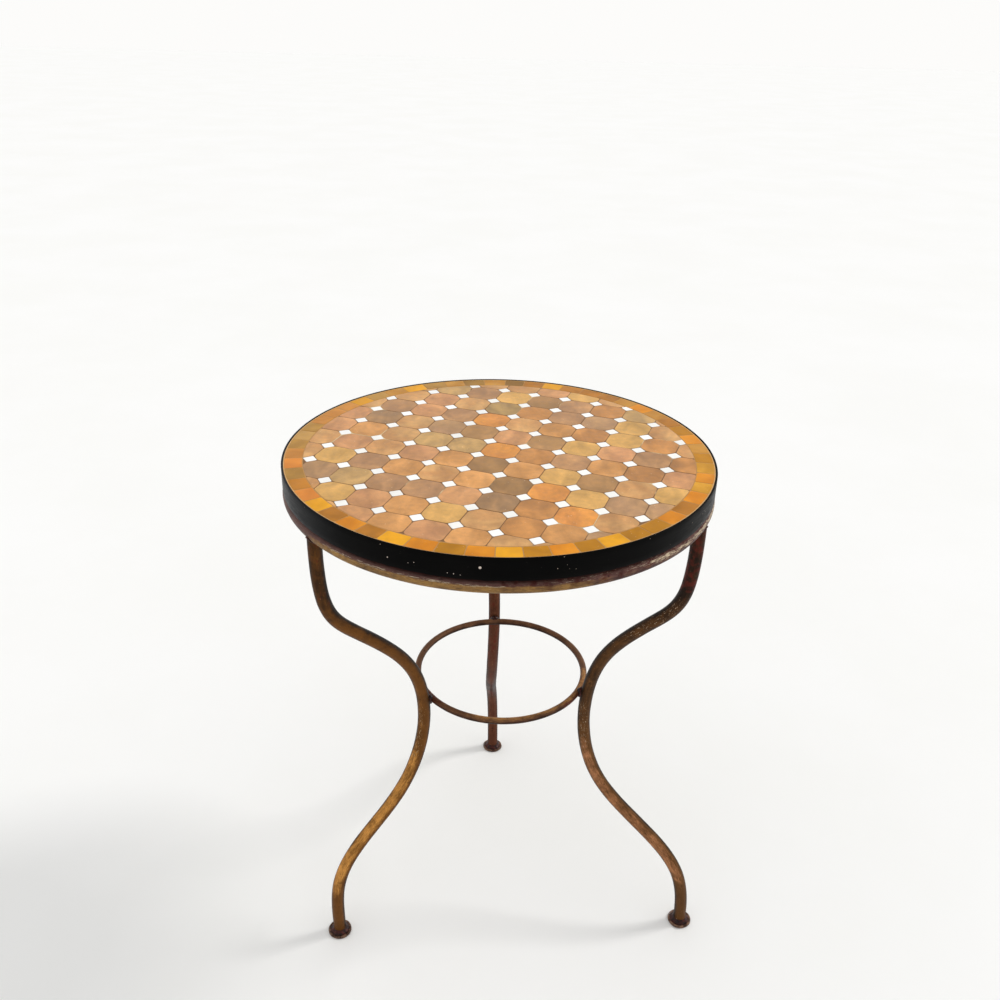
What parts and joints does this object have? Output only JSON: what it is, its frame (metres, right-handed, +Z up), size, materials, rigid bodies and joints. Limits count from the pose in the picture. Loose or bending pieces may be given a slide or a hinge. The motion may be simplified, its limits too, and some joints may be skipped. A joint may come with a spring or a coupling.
{
  "type": "mosaic side table",
  "caption": "Round side table with a glazed-tile mosaic top in a black iron hoop, loose on a three-legged wrought-iron base with a waist ring.",
  "frame": {"origin": "on the floor under the middle of the whole table, 11 mm to the right of the middle of the round top", "axes": "+Z up, -Y the front: one leg stands at the back (+Y), one at the front left (-X) and one at the front right (+X)"},
  "size_m": [0.6236, 0.6032, 0.75],
  "materials": {
    "hoop_paint": "satin black paint with small chips",
    "bronze_patina": "rubbed bronze-brown paint on iron",
    "ring_patina": "purplish-brown paint with pale scuffs",
    "weld": "glossy dark maroon over weld bead",
    "bare_iron": "dull mill scale",
    "cement": "rough cast cement",
    "grout": "matt tinted cement",
    "tan_glaze": "satin hand-cut glazed tile",
    "amber_glaze": "glossy hand-cut glazed tile",
    "white_glaze": "glossy hand-cut white tile"
  },
  "bodies": {
    "base": {"support_ring": "ring_patina", "stretcher_ring": "bronze_patina", "leg_left": "bronze_patina", "leg_right": "bronze_patina", "leg_back": "bronze_patina", "foot_left": "bronze_patina", "foot_right": "bronze_patina", "foot_back": "bronze_patina", "weld_ring_left": "weld", "weld_ring_right": "weld", "weld_ring_back": "weld", "weld_stretcher_left": "weld", "weld_stretcher_right": "weld", "weld_stretcher_back": "weld", "weld_foot_left": "weld", "weld_foot_right": "weld", "weld_foot_back": "weld"},
    "top": {"rim_band": "hoop_paint", "cement_slab": "cement", "rebar_x_front": "bare_iron", "rebar_x_back": "bare_iron", "rebar_y_left": "bare_iron", "rebar_y_right": "bare_iron", "grout_bed": "grout", "mosaic_field": "tan_glaze", "border_mosaic": "amber_glaze"}
  },
  "joints": [
    {"name": "top_lift", "type": "slide", "parent": "base", "child": "top", "axis": [0, 0, 1], "range_m": [0, 0.15]}
  ]
}
